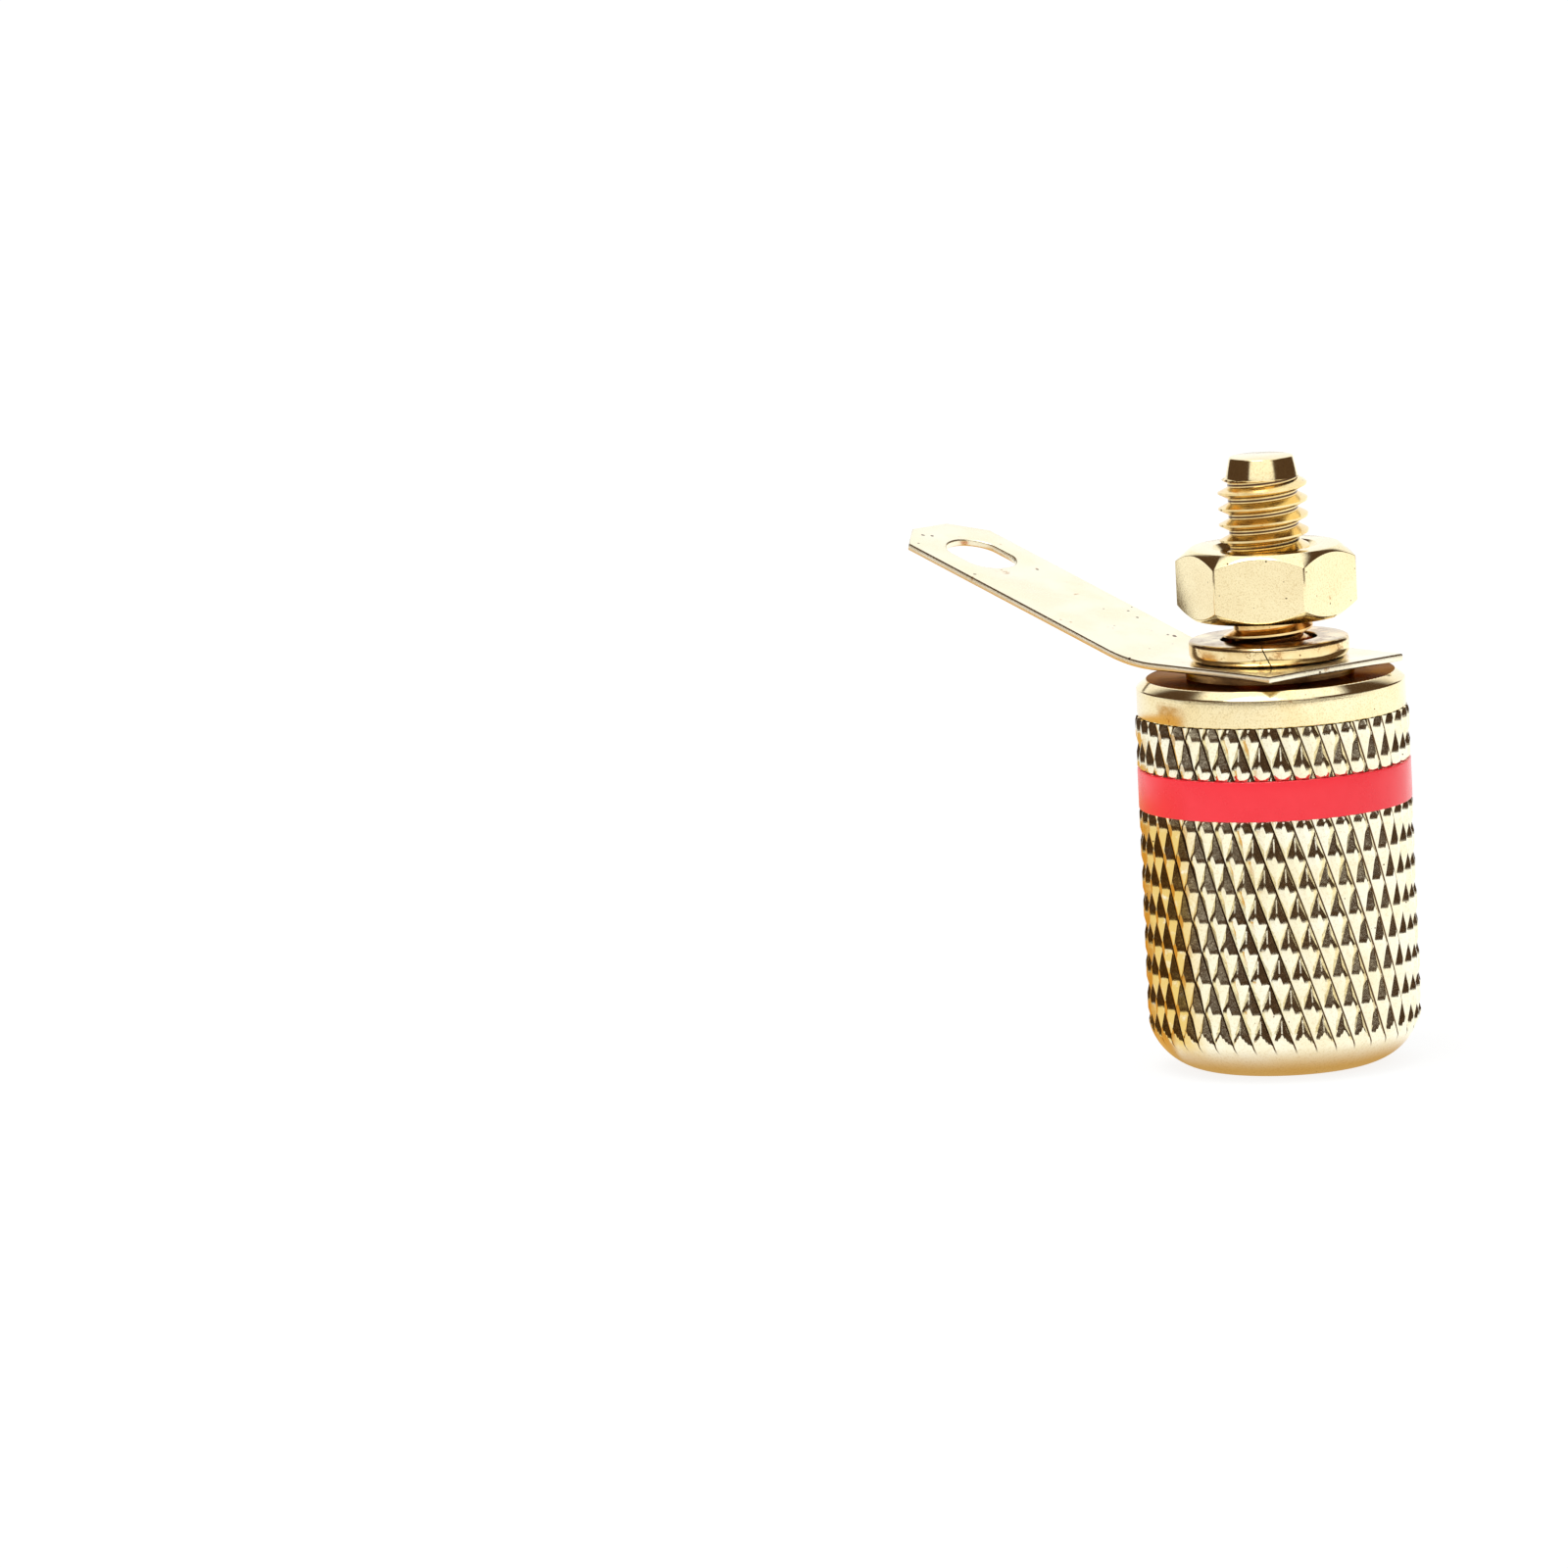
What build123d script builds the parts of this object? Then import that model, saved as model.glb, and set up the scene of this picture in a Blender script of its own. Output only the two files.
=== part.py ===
from build123d import *
import math
import os

# Binding post with a 4 mm banana socket, a knurled thumb cap and an M4 stud.
# Millimetres. Z is the axis of the post. The post stands on the nose of its cap,
# and the origin is the centre of that nose, where a banana plug goes in.
# The stud points up, and the arm of the solder tag leaves to the back left.

# Cap: knurled bar, turned to a round nose, bored through
cap_diameter = 12.0
cap_length = 15.68
cap_bore_diameter = 5.8
mouth_chamfer = 0.15
nose_flat_diameter = 6.6
nose_height = 2.2
nose_cuts = 5
nose_shoulder_margin = 0.06
cap_back_countersink = 0.35

# Diamond knurl on the cap
knurl_count = 40
knurl_depth = 0.32
knurl_angle = 19.4
knurl_first_row = 0.426
knurl_turn = 3.1

# Coloured ring and its groove
collar_length = 2.28
ring_width = 1.76
ring_thickness = 0.75
ring_side_clearance = 0.02
ring_bore_clearance = 0.05

# Terminal body: one turned piece from the socket to the stud
socket_bore_diameter = 4.0
socket_mouth_chamfer = 0.34
socket_mouth_depth = 1.5
socket_bore_depth = 9.9
drill_point_angle = 118.0
tube_clearance = 0.05
tube_end_chamfer = 0.2
wire_hole_diameter = 2.0
wire_hole_from_flange = 1.8
flange_diameter = 11.8
flange_thickness = 1.6
flange_chamfer = 0.12
flange_bevel_width = 0.44
flange_bevel_height = 0.35
flange_seat_clearance = 0.02
boss_diameter = 7.4
boss_height = 0.35
stud_diameter = 4.0
stud_length = 9.25
stud_end_chamfer = 0.3
stud_tip_height = 0.9
stud_tip_base_diameter = 3.2
stud_tip_diameter = 2.8

# Solder tag: square eye, arm flush with one side, bent up
tag_thickness = 0.33
tag_eye_width = 7.9
tag_eye_back = 4.3
tag_eye_front = 3.3
tag_hole_clearance = 0.15
tag_shoulder = 1.6
tag_arm_width = 4.8
tag_arm_length = 14.9
tag_bend_radius = 10.5
tag_bend_angle = 16.0
tag_tip_chamfer = 1.4
tag_slot_length = 3.5
tag_slot_width = 2.5
tag_slot_from_tip = 3.6
tag_azimuth = 132.0

# Split spring washer
washer_outer_diameter = 7.04
washer_bore_clearance = 0.12
washer_thickness = 0.9
washer_lower_edge_break = 0.28
washer_upper_edge_break = 0.12
washer_split = 0.1
washer_split_slant = 25.0
washer_split_azimuth = -92.0

# Hexagon nut, backed off the washer
nut_across_flats = 6.9
nut_height = 3.1
nut_bore_clearance = 0.05
nut_countersink = 0.25
nut_chamfer_angle = 40.0
nut_chamfer_diameter = 6.55
nut_backed_off = 0.95
nut_azimuth = -95.3

# Fits and overruns shared by all pieces
seat_clearance = 0.01
cut_overrun = 1.0

# Heights up the post, from the nose
flange_bottom = cap_length + flange_seat_clearance
flange_top = flange_bottom + flange_thickness
boss_top = flange_top + boss_height
tag_bottom = boss_top + seat_clearance
tag_top = tag_bottom + tag_thickness
washer_bottom = tag_top + seat_clearance
washer_top = washer_bottom + washer_thickness
nut_bottom = washer_top + nut_backed_off
stud_tip = boss_top + stud_length

# Radii that several pieces share
cap_radius = cap_diameter / 2
cap_bore_radius = cap_bore_diameter / 2
tube_radius = cap_bore_radius - tube_clearance
ring_bore_radius = cap_radius - ring_thickness
groove_radius = ring_bore_radius - ring_bore_clearance
groove_end = cap_length - collar_length
groove_start = groove_end - ring_width - 2 * ring_side_clearance
stud_radius = stud_diameter / 2


def turned(points):
    """Solid turned about the Z axis from the (radius, height) points of its half section."""
    section = make_face(Polyline(points, close=True).edges())
    return revolve(Plane.XZ * section, Axis.Z)


def knurled_bar():
    """Bar whose skin is crossed by two opposite helical grooves, as a lattice of flat facets."""
    columns = 2 * knurl_count
    half_pitch = math.pi * cap_diameter / columns
    row_height = half_pitch / math.tan(math.radians(knurl_angle))
    first_row = -math.ceil((knurl_first_row + cut_overrun) / row_height)
    last_row = math.ceil((cap_length + cut_overrun) / row_height)

    def lattice_point(column, row):
        on_crest = (column + row) % 2 == 0
        radius = cap_radius if on_crest else cap_radius - knurl_depth
        angle = math.radians(knurl_turn + column * 360 / columns - 90)
        height = knurl_first_row + row * row_height
        return Vector(radius * math.cos(angle), radius * math.sin(angle), height)

    facets = []
    for row in range(first_row, last_row):
        for column in range(columns):
            near, far = (column, row), (column + 1, row + 1)
            right, left = (column + 1, row), (column, row + 1)
            if (column + row) % 2 == 0:
                triangles = [(near, right, left), (right, far, left)]
            else:
                triangles = [(near, right, far), (near, far, left)]
            for triangle in triangles:
                corners = [lattice_point(*corner) for corner in triangle]
                facets.append(Face(Wire.make_polygon(corners, close=True)))
    for row in (first_row, last_row):
        rim = [lattice_point(column, row) for column in range(columns)]
        facets.append(Face(Wire.make_polygon(rim, close=True)))
    return Solid(Shell(facets))


def cap_turning():
    """Envelope that the knurled bar is turned to: nose rounded in short cuts, ring groove and bore."""
    nose_flat_radius = nose_flat_diameter / 2
    nose_reach = cap_radius - nose_flat_radius
    nose_radius = (nose_reach**2 + nose_height**2) / (2 * nose_height)
    shoulder_reach = nose_reach - knurl_depth - nose_shoulder_margin
    shoulder_angle = math.asin(shoulder_reach / nose_radius)

    def on_nose(angle):
        reach = nose_radius * math.sin(angle)
        return (nose_flat_radius + reach, nose_radius * (1 - math.cos(angle)))

    nose = [on_nose(shoulder_angle * cut / nose_cuts) for cut in range(nose_cuts + 1)]
    clear_radius = cap_radius + cut_overrun
    return turned([
        *nose,
        (cap_radius, nose_height),
        (clear_radius, nose_height),
        (clear_radius, groove_start),
        (groove_radius, groove_start),
        (groove_radius, groove_end),
        (clear_radius, groove_end),
        (clear_radius, cap_length),
        (cap_bore_radius + cap_back_countersink, cap_length),
        (cap_bore_radius, cap_length - cap_back_countersink),
        (cap_bore_radius, mouth_chamfer),
        (cap_bore_radius + mouth_chamfer, 0),
    ])


def thumb_cap():
    return knurled_bar() & cap_turning()


def colour_ring():
    bottom = groove_start + ring_side_clearance
    top = groove_end - ring_side_clearance
    return turned([
        (ring_bore_radius, bottom),
        (cap_radius, bottom),
        (cap_radius, top),
        (ring_bore_radius, top),
    ])


def terminal_body():
    """Socket tube, flange, boss and stud, turned from one bar and cross-drilled for a bare wire."""
    bore_radius = socket_bore_diameter / 2
    bore_end = socket_mouth_depth + socket_bore_depth
    drill_tip = bore_end + bore_radius / math.tan(math.radians(drill_point_angle / 2))
    flange_radius = flange_diameter / 2
    boss_radius = boss_diameter / 2
    body = turned([
        (0, drill_tip),
        (bore_radius, bore_end),
        (bore_radius, socket_mouth_depth + socket_mouth_chamfer),
        (bore_radius + socket_mouth_chamfer, socket_mouth_depth),
        (tube_radius - tube_end_chamfer, socket_mouth_depth),
        (tube_radius, socket_mouth_depth + tube_end_chamfer),
        (tube_radius, flange_bottom),
        (flange_radius - flange_chamfer, flange_bottom),
        (flange_radius, flange_bottom + flange_chamfer),
        (flange_radius, flange_top - flange_bevel_height),
        (flange_radius - flange_bevel_width, flange_top),
        (boss_radius, flange_top),
        (boss_radius, boss_top),
        (stud_radius, boss_top),
        (stud_radius, stud_tip - stud_tip_height - stud_end_chamfer),
        (stud_tip_base_diameter / 2, stud_tip - stud_tip_height),
        (stud_tip_diameter / 2, stud_tip),
        (0, stud_tip),
    ])
    wire_hole_height = flange_bottom - wire_hole_from_flange
    wire_hole = Cylinder(wire_hole_diameter / 2, cap_diameter, rotation=(90, 0, 0))
    return body - Pos(0, 0, wire_hole_height) * wire_hole


def solder_tag():
    """Flat tag: X runs out along the arm, the stud hole is at the origin, then it is turned."""
    side = tag_eye_width / 2
    arm_inner_side = side - tag_arm_width
    eye_outline = Polyline(
        (-tag_eye_back, side),
        (tag_eye_front, side),
        (tag_eye_front, arm_inner_side),
        (tag_eye_front - tag_shoulder, -side),
        (-tag_eye_back, -side),
        close=True,
    )
    eye = extrude(make_face(eye_outline.edges()), tag_thickness)

    bend = math.radians(tag_bend_angle)
    inner = tag_bend_radius
    outer = tag_bend_radius + tag_thickness

    def on_bend(radius, angle):
        return (tag_eye_front + radius * math.sin(angle), outer - radius * math.cos(angle))

    def along_arm(radius, distance):
        start = on_bend(radius, bend)
        return (start[0] + distance * math.cos(bend), start[1] + distance * math.sin(bend))

    strip_outline = [
        Line(on_bend(inner, 0), on_bend(outer, 0)),
        ThreePointArc(on_bend(outer, 0), on_bend(outer, bend / 2), on_bend(outer, bend)),
        Line(on_bend(outer, bend), along_arm(outer, tag_arm_length)),
        Line(along_arm(outer, tag_arm_length), along_arm(inner, tag_arm_length)),
        Line(along_arm(inner, tag_arm_length), on_bend(inner, bend)),
        ThreePointArc(on_bend(inner, bend), on_bend(inner, bend / 2), on_bend(inner, 0)),
    ]
    strip_section = Plane.XZ * make_face(Curve(strip_outline).edges())
    strip = Pos(0, side, 0) * extrude(strip_section, tag_arm_width)

    tip = along_arm(inner, tag_arm_length)
    arm_middle = (arm_inner_side + side) / 2
    arm_frame = Plane(origin=(tip[0], arm_middle, tip[1]), x_dir=(math.cos(bend), 0, math.sin(bend)),
                      z_dir=(-math.sin(bend), 0, math.cos(bend)))
    tip_corners = [
        make_face(Polyline((0, edge), (0, edge - way * tag_tip_chamfer),
                           (-tag_tip_chamfer, edge), close=True).edges())
        for way, edge in ((1, tag_arm_width / 2), (-1, -tag_arm_width / 2))
    ]
    slot = Pos(-tag_slot_from_tip, 0) * SlotOverall(tag_slot_length, tag_slot_width)
    for cut in [*tip_corners, slot]:
        strip -= arm_frame * extrude(cut, tag_thickness + cut_overrun, both=True)

    hole = Cylinder(stud_radius + tag_hole_clearance, tag_thickness + cut_overrun)
    tag = eye + strip - hole
    return Pos(0, 0, tag_bottom) * Rot(0, 0, tag_azimuth) * tag


def spring_washer():
    """Square-section ring with broken outer edges, pressed flat, and split on a slant."""
    bore_radius = stud_radius + washer_bore_clearance
    outer_radius = washer_outer_diameter / 2
    middle_radius = (bore_radius + outer_radius) / 2
    ring = turned([
        (bore_radius, 0),
        (outer_radius - washer_lower_edge_break, 0),
        (outer_radius, washer_lower_edge_break),
        (outer_radius, washer_thickness - washer_upper_edge_break),
        (outer_radius - washer_upper_edge_break, washer_thickness),
        (bore_radius, washer_thickness),
    ])
    split_reach = outer_radius - bore_radius + cut_overrun
    split = Box(washer_split, split_reach, washer_thickness + 2 * cut_overrun)
    slanted_split = Pos(0, middle_radius, washer_thickness / 2) * Rot(0, washer_split_slant, 0) * split
    return Pos(0, 0, washer_bottom) * Rot(0, 0, washer_split_azimuth - 90) * (ring - slanted_split)


def hex_nut():
    """Hexagon bar cut off, both ends chamfered, and countersunk at both mouths of its thread."""
    bore_radius = stud_radius + nut_bore_clearance
    corner_radius = nut_across_flats / 2 / math.cos(math.radians(30))
    chamfer_reach = corner_radius - nut_chamfer_diameter / 2
    chamfer_height = chamfer_reach * math.tan(math.radians(nut_chamfer_angle))
    prism = extrude(RegularPolygon(corner_radius, 6), nut_height)
    turning = turned([
        (bore_radius + nut_countersink, 0),
        (nut_chamfer_diameter / 2, 0),
        (corner_radius, chamfer_height),
        (corner_radius, nut_height - chamfer_height),
        (nut_chamfer_diameter / 2, nut_height),
        (bore_radius + nut_countersink, nut_height),
        (bore_radius, nut_height - nut_countersink),
        (bore_radius, nut_countersink),
    ])
    first_corner = nut_azimuth + 30
    return Pos(0, 0, nut_bottom) * Rot(0, 0, first_corner) * (prism & turning)


pieces = {
    "terminal_body": terminal_body(),
    "thumb_cap": thumb_cap(),
    "colour_ring": colour_ring(),
    "solder_tag": solder_tag(),
    "spring_washer": spring_washer(),
    "hex_nut": hex_nut(),
}

os.makedirs("parts", exist_ok=True)
for name, piece in pieces.items():
    piece.label = name
    export_step(piece, f"parts/{name}.step")
    size = piece.bounding_box().size
    print(f"{name}: {piece.volume:.2f} mm3, {size.X:.2f} x {size.Y:.2f} x {size.Z:.2f} mm")
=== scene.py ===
# %% [markdown]
# # A gold-plated binding post
# A binding post joins a loudspeaker cable to a case. This one is turned from brass and plated:
# a knurled thumb cap with a red ring, a tube that takes a 4 mm plug, a flange, and a threaded
# stud with a solder tag, a split washer and a nut. Every piece is modelled here in code around
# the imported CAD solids, and takes their places.

import math

import bmesh
import bpy
import numpy as np
from mathutils import Matrix, Vector


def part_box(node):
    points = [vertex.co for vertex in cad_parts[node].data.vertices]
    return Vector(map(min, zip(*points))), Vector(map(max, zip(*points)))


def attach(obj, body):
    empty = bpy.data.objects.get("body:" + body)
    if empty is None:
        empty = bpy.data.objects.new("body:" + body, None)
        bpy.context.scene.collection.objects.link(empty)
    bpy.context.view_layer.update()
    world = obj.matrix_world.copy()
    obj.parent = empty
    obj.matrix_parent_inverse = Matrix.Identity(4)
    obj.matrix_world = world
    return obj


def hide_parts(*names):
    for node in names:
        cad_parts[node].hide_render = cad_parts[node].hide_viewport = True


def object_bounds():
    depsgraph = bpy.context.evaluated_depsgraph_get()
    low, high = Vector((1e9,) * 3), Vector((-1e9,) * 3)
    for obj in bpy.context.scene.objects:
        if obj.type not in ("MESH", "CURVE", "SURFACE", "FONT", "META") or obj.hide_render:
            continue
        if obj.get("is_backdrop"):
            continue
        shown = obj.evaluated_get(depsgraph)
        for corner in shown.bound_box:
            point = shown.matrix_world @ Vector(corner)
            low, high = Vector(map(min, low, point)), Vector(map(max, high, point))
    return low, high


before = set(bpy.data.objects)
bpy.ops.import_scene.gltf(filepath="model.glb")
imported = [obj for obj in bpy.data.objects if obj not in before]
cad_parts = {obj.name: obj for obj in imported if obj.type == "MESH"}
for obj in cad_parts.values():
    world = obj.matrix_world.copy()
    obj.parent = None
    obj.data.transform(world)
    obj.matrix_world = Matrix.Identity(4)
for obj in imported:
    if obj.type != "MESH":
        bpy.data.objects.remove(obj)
cad_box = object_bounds()
MM = 0.001


def span(node):
    """Lowest and highest point of a CAD node, in millimetres."""
    low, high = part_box(node)
    return low[2] / MM, high[2] / MM


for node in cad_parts:
    print(node, "from and to, in mm:", [round(height, 2) for height in span(node)])

# %% [markdown]
# ## Camera
# The photograph was taken from a little above, through a long lens. Two points of the post are
# easy to find in it: the middle of the nose and the middle of the stud's end. With the camera's
# distance and height chosen, those two points settle the lens, the aim and the small roll, so the
# camera is worked out from them and not placed by eye. The lens is the one that shows the two
# points as far apart as the photograph does, found by halving the range that it lies in.

# %% Camera from two landmarks
IMAGE_SIDE = 1600
SENSOR_SIDE = 36.0
camera_distance = 800 * MM
camera_elevation = math.radians(8.6)
nose_point, nose_pixel = Vector((0, 0, 0)), (1313.5, 1084.0)
tip_point, tip_pixel = Vector((0, 0, span("terminal_body")[1] * MM)), (1286.5, 465.0)

level = math.cos(camera_elevation)
rise = math.sin(camera_elevation)
camera_place = (nose_point + tip_point) / 2 + camera_distance * Vector((0, -level, rise))


def ray_of(pixel, focal_pixels):
    """Direction through a pixel, in the camera's own axes."""
    across = pixel[0] - IMAGE_SIDE / 2
    up = IMAGE_SIDE / 2 - pixel[1]
    return Vector((across, up, -focal_pixels)).normalized()


def axes_of(first, second):
    """Right-angled axes that two directions set up, as the columns of a matrix."""
    middle = (first + second).normalized()
    side = first.cross(second).normalized()
    return Matrix((middle, side, middle.cross(side))).transposed()


def placed(name, data):
    """New object in the scene."""
    made = bpy.data.objects.new(name, data)
    bpy.context.scene.collection.objects.link(made)
    return made


seen_angle = (nose_point - camera_place).angle(tip_point - camera_place)
short, long = 1000.0, 100000.0
halvings = 60
for _ in range(halvings):
    focal_pixels = (short + long) / 2
    drawn_angle = ray_of(nose_pixel, focal_pixels).angle(ray_of(tip_pixel, focal_pixels))
    short, long = (focal_pixels, long) if drawn_angle > seen_angle else (short, focal_pixels)

in_camera = axes_of(ray_of(nose_pixel, focal_pixels), ray_of(tip_pixel, focal_pixels))
in_world = axes_of((nose_point - camera_place).normalized(), (tip_point - camera_place).normalized())
camera_turn = in_world @ in_camera.transposed()

lens = bpy.data.cameras.new("camera")
lens.sensor_width = SENSOR_SIDE
lens.lens = focal_pixels * SENSOR_SIDE / IMAGE_SIDE
lens.clip_start = 0.01
lens.clip_end = 100
camera = placed("camera", lens)
camera.matrix_world = Matrix.Translation(camera_place) @ camera_turn.to_4x4()
bpy.context.scene.camera = camera
bpy.context.scene.view_settings.view_transform = "Standard"
print("lens:", round(lens.lens, 1), "mm")

# %% [markdown]
# ## Nodes by hand
# A material is a small network. Writing each node out takes five lines, so one helper adds a node,
# sets it up and links its inputs. The others are built on it: they start a material, do a sum, mix
# two colours, part a vector or make noise.

# %% Nodes, sums, mixes and noise
def new_material(name):
    """Empty material and its node tree."""
    made = bpy.data.materials.new(name)
    made.use_nodes = True
    made.node_tree.nodes.clear()
    return made, made.node_tree


def add_node(tree, kind, inputs=None, **settings):
    """Adds a node; an input may be a value or another node's output."""
    made = tree.nodes.new(kind)
    for name, value in settings.items():
        setattr(made, name, value)
    for key, value in (inputs or {}).items():
        if isinstance(value, bpy.types.NodeSocket):
            tree.links.new(value, made.inputs[key])
        else:
            made.inputs[key].default_value = value
    return made


def maths(tree, operation, first, second=0.0):
    return add_node(tree, "ShaderNodeMath", {0: first, 1: second}, operation=operation).outputs[0]


def blended(tree, share, first, second):
    """Colour between two colours."""
    return add_node(tree, "ShaderNodeMix", {0: share, 6: first, 7: second}, data_type="RGBA").outputs[2]


def grey(value):
    return (value, value, value, 1.0)


def parts_of(tree, vector):
    """X, Y and Z of a vector."""
    return add_node(tree, "ShaderNodeSeparateXYZ", {0: vector}).outputs


def noise(tree, place, scale, **settings):
    """Noise at a place; settings are the texture's other inputs."""
    others = {name.capitalize(): value for name, value in settings.items()}
    return add_node(tree, "ShaderNodeTexNoise", {"Vector": place, "Scale": scale, **others}).outputs["Fac"]


# %% [markdown]
# A mask is a number from 0 to 1 that says where something is. Most masks here come from a value
# that crosses a limit, and some from a direction that lies near a bearing. Two masks are joined by
# their product, where both hold, or by the larger, where either does.

# %% Masks
def both(tree, first, second):
    return maths(tree, "MULTIPLY", first, second)


def either(tree, first, second):
    return maths(tree, "MAXIMUM", first, second)


def outside(tree, mask):
    return maths(tree, "SUBTRACT", 1.0, mask)


def smooth_step(tree, value, low, high):
    """0 below low, 1 above high, and a soft change between."""
    return add_node(tree, "ShaderNodeMapRange", {0: value, 1: low, 2: high, 3: 0.0, 4: 1.0},
                    interpolation_type="SMOOTHSTEP").outputs[0]


def level_heading(tree, vector):
    """Direction of a vector seen from above."""
    flat = add_node(tree, "ShaderNodeVectorMath", {0: vector, 1: (1, 1, 0)}, operation="MULTIPLY")
    return add_node(tree, "ShaderNodeVectorMath", {0: flat.outputs[0]}, operation="NORMALIZE").outputs[0]


def towards(tree, heading, bearing, half_angle, softness=4.0):
    """1 where a level heading lies within an angle of a bearing, in degrees to the right of -Y."""
    turn = math.radians(bearing)
    along = add_node(tree, "ShaderNodeVectorMath",
                     {0: heading, 1: (math.sin(turn), -math.cos(turn), 0)}, operation="DOT_PRODUCT")
    low = math.cos(math.radians(half_angle + softness))
    high = math.cos(math.radians(half_angle - softness))
    return smooth_step(tree, along.outputs["Value"], low, high)


def ray_masks(tree):
    """1 for rays from the camera, and 1 for rays that a surface mirrors or lets through."""
    paths = add_node(tree, "ShaderNodeLightPath").outputs
    return paths["Is Camera Ray"], either(tree, paths["Is Glossy Ray"], paths["Is Transmission Ray"])


# %% [markdown]
# ## Studio
# Polished metal shows its surroundings more than itself, so the studio is half of the finish. The
# photograph's studio can be read off the post. Walls that stand upright mirror the white table.
# Faces that tilt up a little mirror a dark room in front and at the sides, with a white panel high
# behind the camera, and a white backdrop behind the post. Faces that tilt up a lot mirror a large
# soft light overhead. The world below paints those zones by direction for reflections, gives the
# camera plain white, and lights matt surfaces evenly.

# %% World with a dark room, a front panel, a backdrop and a soft light
room_brown = (0.085, 0.047, 0.024, 1.0)
room_zone = {"bearing": 0, "half_angle": 148, "softness": 6.0}
backdrop_white = grey(1.1)
panel_white = grey(1.25)
panel_half_angle = 42
overhead_white = grey(1.3)
plain_light = 0.88
room_start, panel_start, overhead_start = (0.0, 0.03), (0.266, 0.280), (0.80, 0.88)

world = bpy.data.worlds.new("studio")
bpy.context.scene.world = world
world.use_nodes = True
sky = world.node_tree
sky.nodes.clear()
direction = add_node(sky, "ShaderNodeTexCoord").outputs["Generated"]
height = parts_of(sky, direction)["Z"]
heading = level_heading(sky, direction)
in_room = both(sky, towards(sky, heading, **room_zone), smooth_step(sky, height, *room_start))
on_panel = both(sky, towards(sky, heading, 0, panel_half_angle), smooth_step(sky, height, *panel_start))
around = blended(sky, in_room, backdrop_white, room_brown)
around = blended(sky, on_panel, around, panel_white)
mirrored = blended(sky, smooth_step(sky, height, *overhead_start), around, overhead_white)

from_camera, reflected = ray_masks(sky)
for_objects = blended(sky, reflected, grey(plain_light), mirrored)
for_all = blended(sky, from_camera, for_objects, grey(1.0))
background = add_node(sky, "ShaderNodeBackground", {"Color": for_all, "Strength": 1.0})
add_node(sky, "ShaderNodeOutputWorld", {"Surface": background.outputs[0]})
for zone, start in (("panel", panel_start), ("overhead light", overhead_start)):
    print(zone, "starts", round(math.degrees(math.asin(start[0]))), "degrees up")

# %% Soft light overhead, for shadows and sparkle
lamp = bpy.data.lights.new("soft_light", "AREA")
lamp.shape = "DISK"
lamp.size = 500 * MM
lamp.energy = 2.0
soft_lamp = placed("soft_light", lamp)
soft_lamp.location = (-150 * MM, -200 * MM, 800 * MM)
soft_lamp.rotation_euler = (-soft_lamp.location).to_track_quat("-Z", "Y").to_euler()
print("soft light:", round(soft_lamp.location.length / MM), "mm away")

# %% [markdown]
# The table is one large white sheet. To the camera and in reflections it is mostly its own plain
# white, so it meets the white background without an edge, and the rest of it takes light as paper
# does, which keeps a soft shadow at the foot of the post. In reflections alone its white changes,
# because the photograph shows that in the metal: close round the foot it carries a golden painted
# shadow of the post, two golden patches at the front left and a ragged brown patch farther left are
# painted reflections, its right side is painted brighter as light, and it ends in the dark of the room.

# %% Whites and patches of the table
own_white_share = 0.8
paper_white, table_glow = grey(0.9), 1.06
# The right side of the table is painted brighter as light, in reflections only.
left_white, right_painted_light = grey(0.98), grey(1.16)
bright_side = (-40 * MM, 50 * MM)
shadow_reach = (60 * MM, 300 * MM)
table_end = (300 * MM, 380 * MM)
# Painted shadow of the post round its foot, seen only in reflections.
foot_shade, foot_reach = (0.56, 0.34, 0.12, 1.0), (4.4 * MM, 7.0 * MM)
# Painted brown reflection, in a ragged patch farther left.
brown_painted_reflection = (0.56, 0.33, 0.12, 1.0)
brown_reflection_sector = {"bearing": -97, "half_angle": 13, "softness": 9.0, "reach": (110 * MM, 175 * MM)}
ragged_per_mm, ragged_edge = 0.06, (0.35, 0.5)
# Painted golden reflections, in two patches at the front left.
golden_painted_reflection = (0.74, 0.44, 0.13, 1.0)
golden_reflection_sectors = ({"bearing": -130, "half_angle": 46, "softness": 10.0, "reach": (72 * MM, 92 * MM)},
                  {"bearing": -122, "half_angle": 36, "softness": 10.0, "reach": (18 * MM, 28 * MM)})

paper, tree = new_material("white_table")
place = add_node(tree, "ShaderNodeTexCoord").outputs["Object"]
away = add_node(tree, "ShaderNodeVectorMath", {0: place}, operation="LENGTH").outputs["Value"]


def in_sector(bearing, half_angle, softness, reach):
    """Mask of the table near a bearing, from its middle out to a reach."""
    near = outside(tree, smooth_step(tree, away, *reach))
    return both(tree, towards(tree, level_heading(tree, place), bearing, half_angle, softness), near)


from_left = parts_of(tree, place)["X"]
ragged = noise(tree, place, ragged_per_mm / MM, detail=3.0)
on_brown_reflection = both(tree, in_sector(**brown_reflection_sector), smooth_step(tree, ragged, *ragged_edge))
on_golden_reflection = either(tree, *[in_sector(**sector) for sector in golden_reflection_sectors])
at_end = both(tree, towards(tree, level_heading(tree, place), **room_zone),
              smooth_step(tree, away, *table_end))
# Painted light, painted reflections and the painted shadow of the post are laid into the reflected white.
mirrored = blended(tree, smooth_step(tree, from_left, *bright_side), left_white, right_painted_light)
mirrored = blended(tree, on_brown_reflection, mirrored, brown_painted_reflection)
mirrored = blended(tree, on_golden_reflection, mirrored, golden_painted_reflection)
mirrored = blended(tree, smooth_step(tree, away, *foot_reach), foot_shade, mirrored)
mirrored = blended(tree, at_end, mirrored, room_brown)
print("patches that only reflections show:", 1 + len(golden_reflection_sectors))

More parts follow.
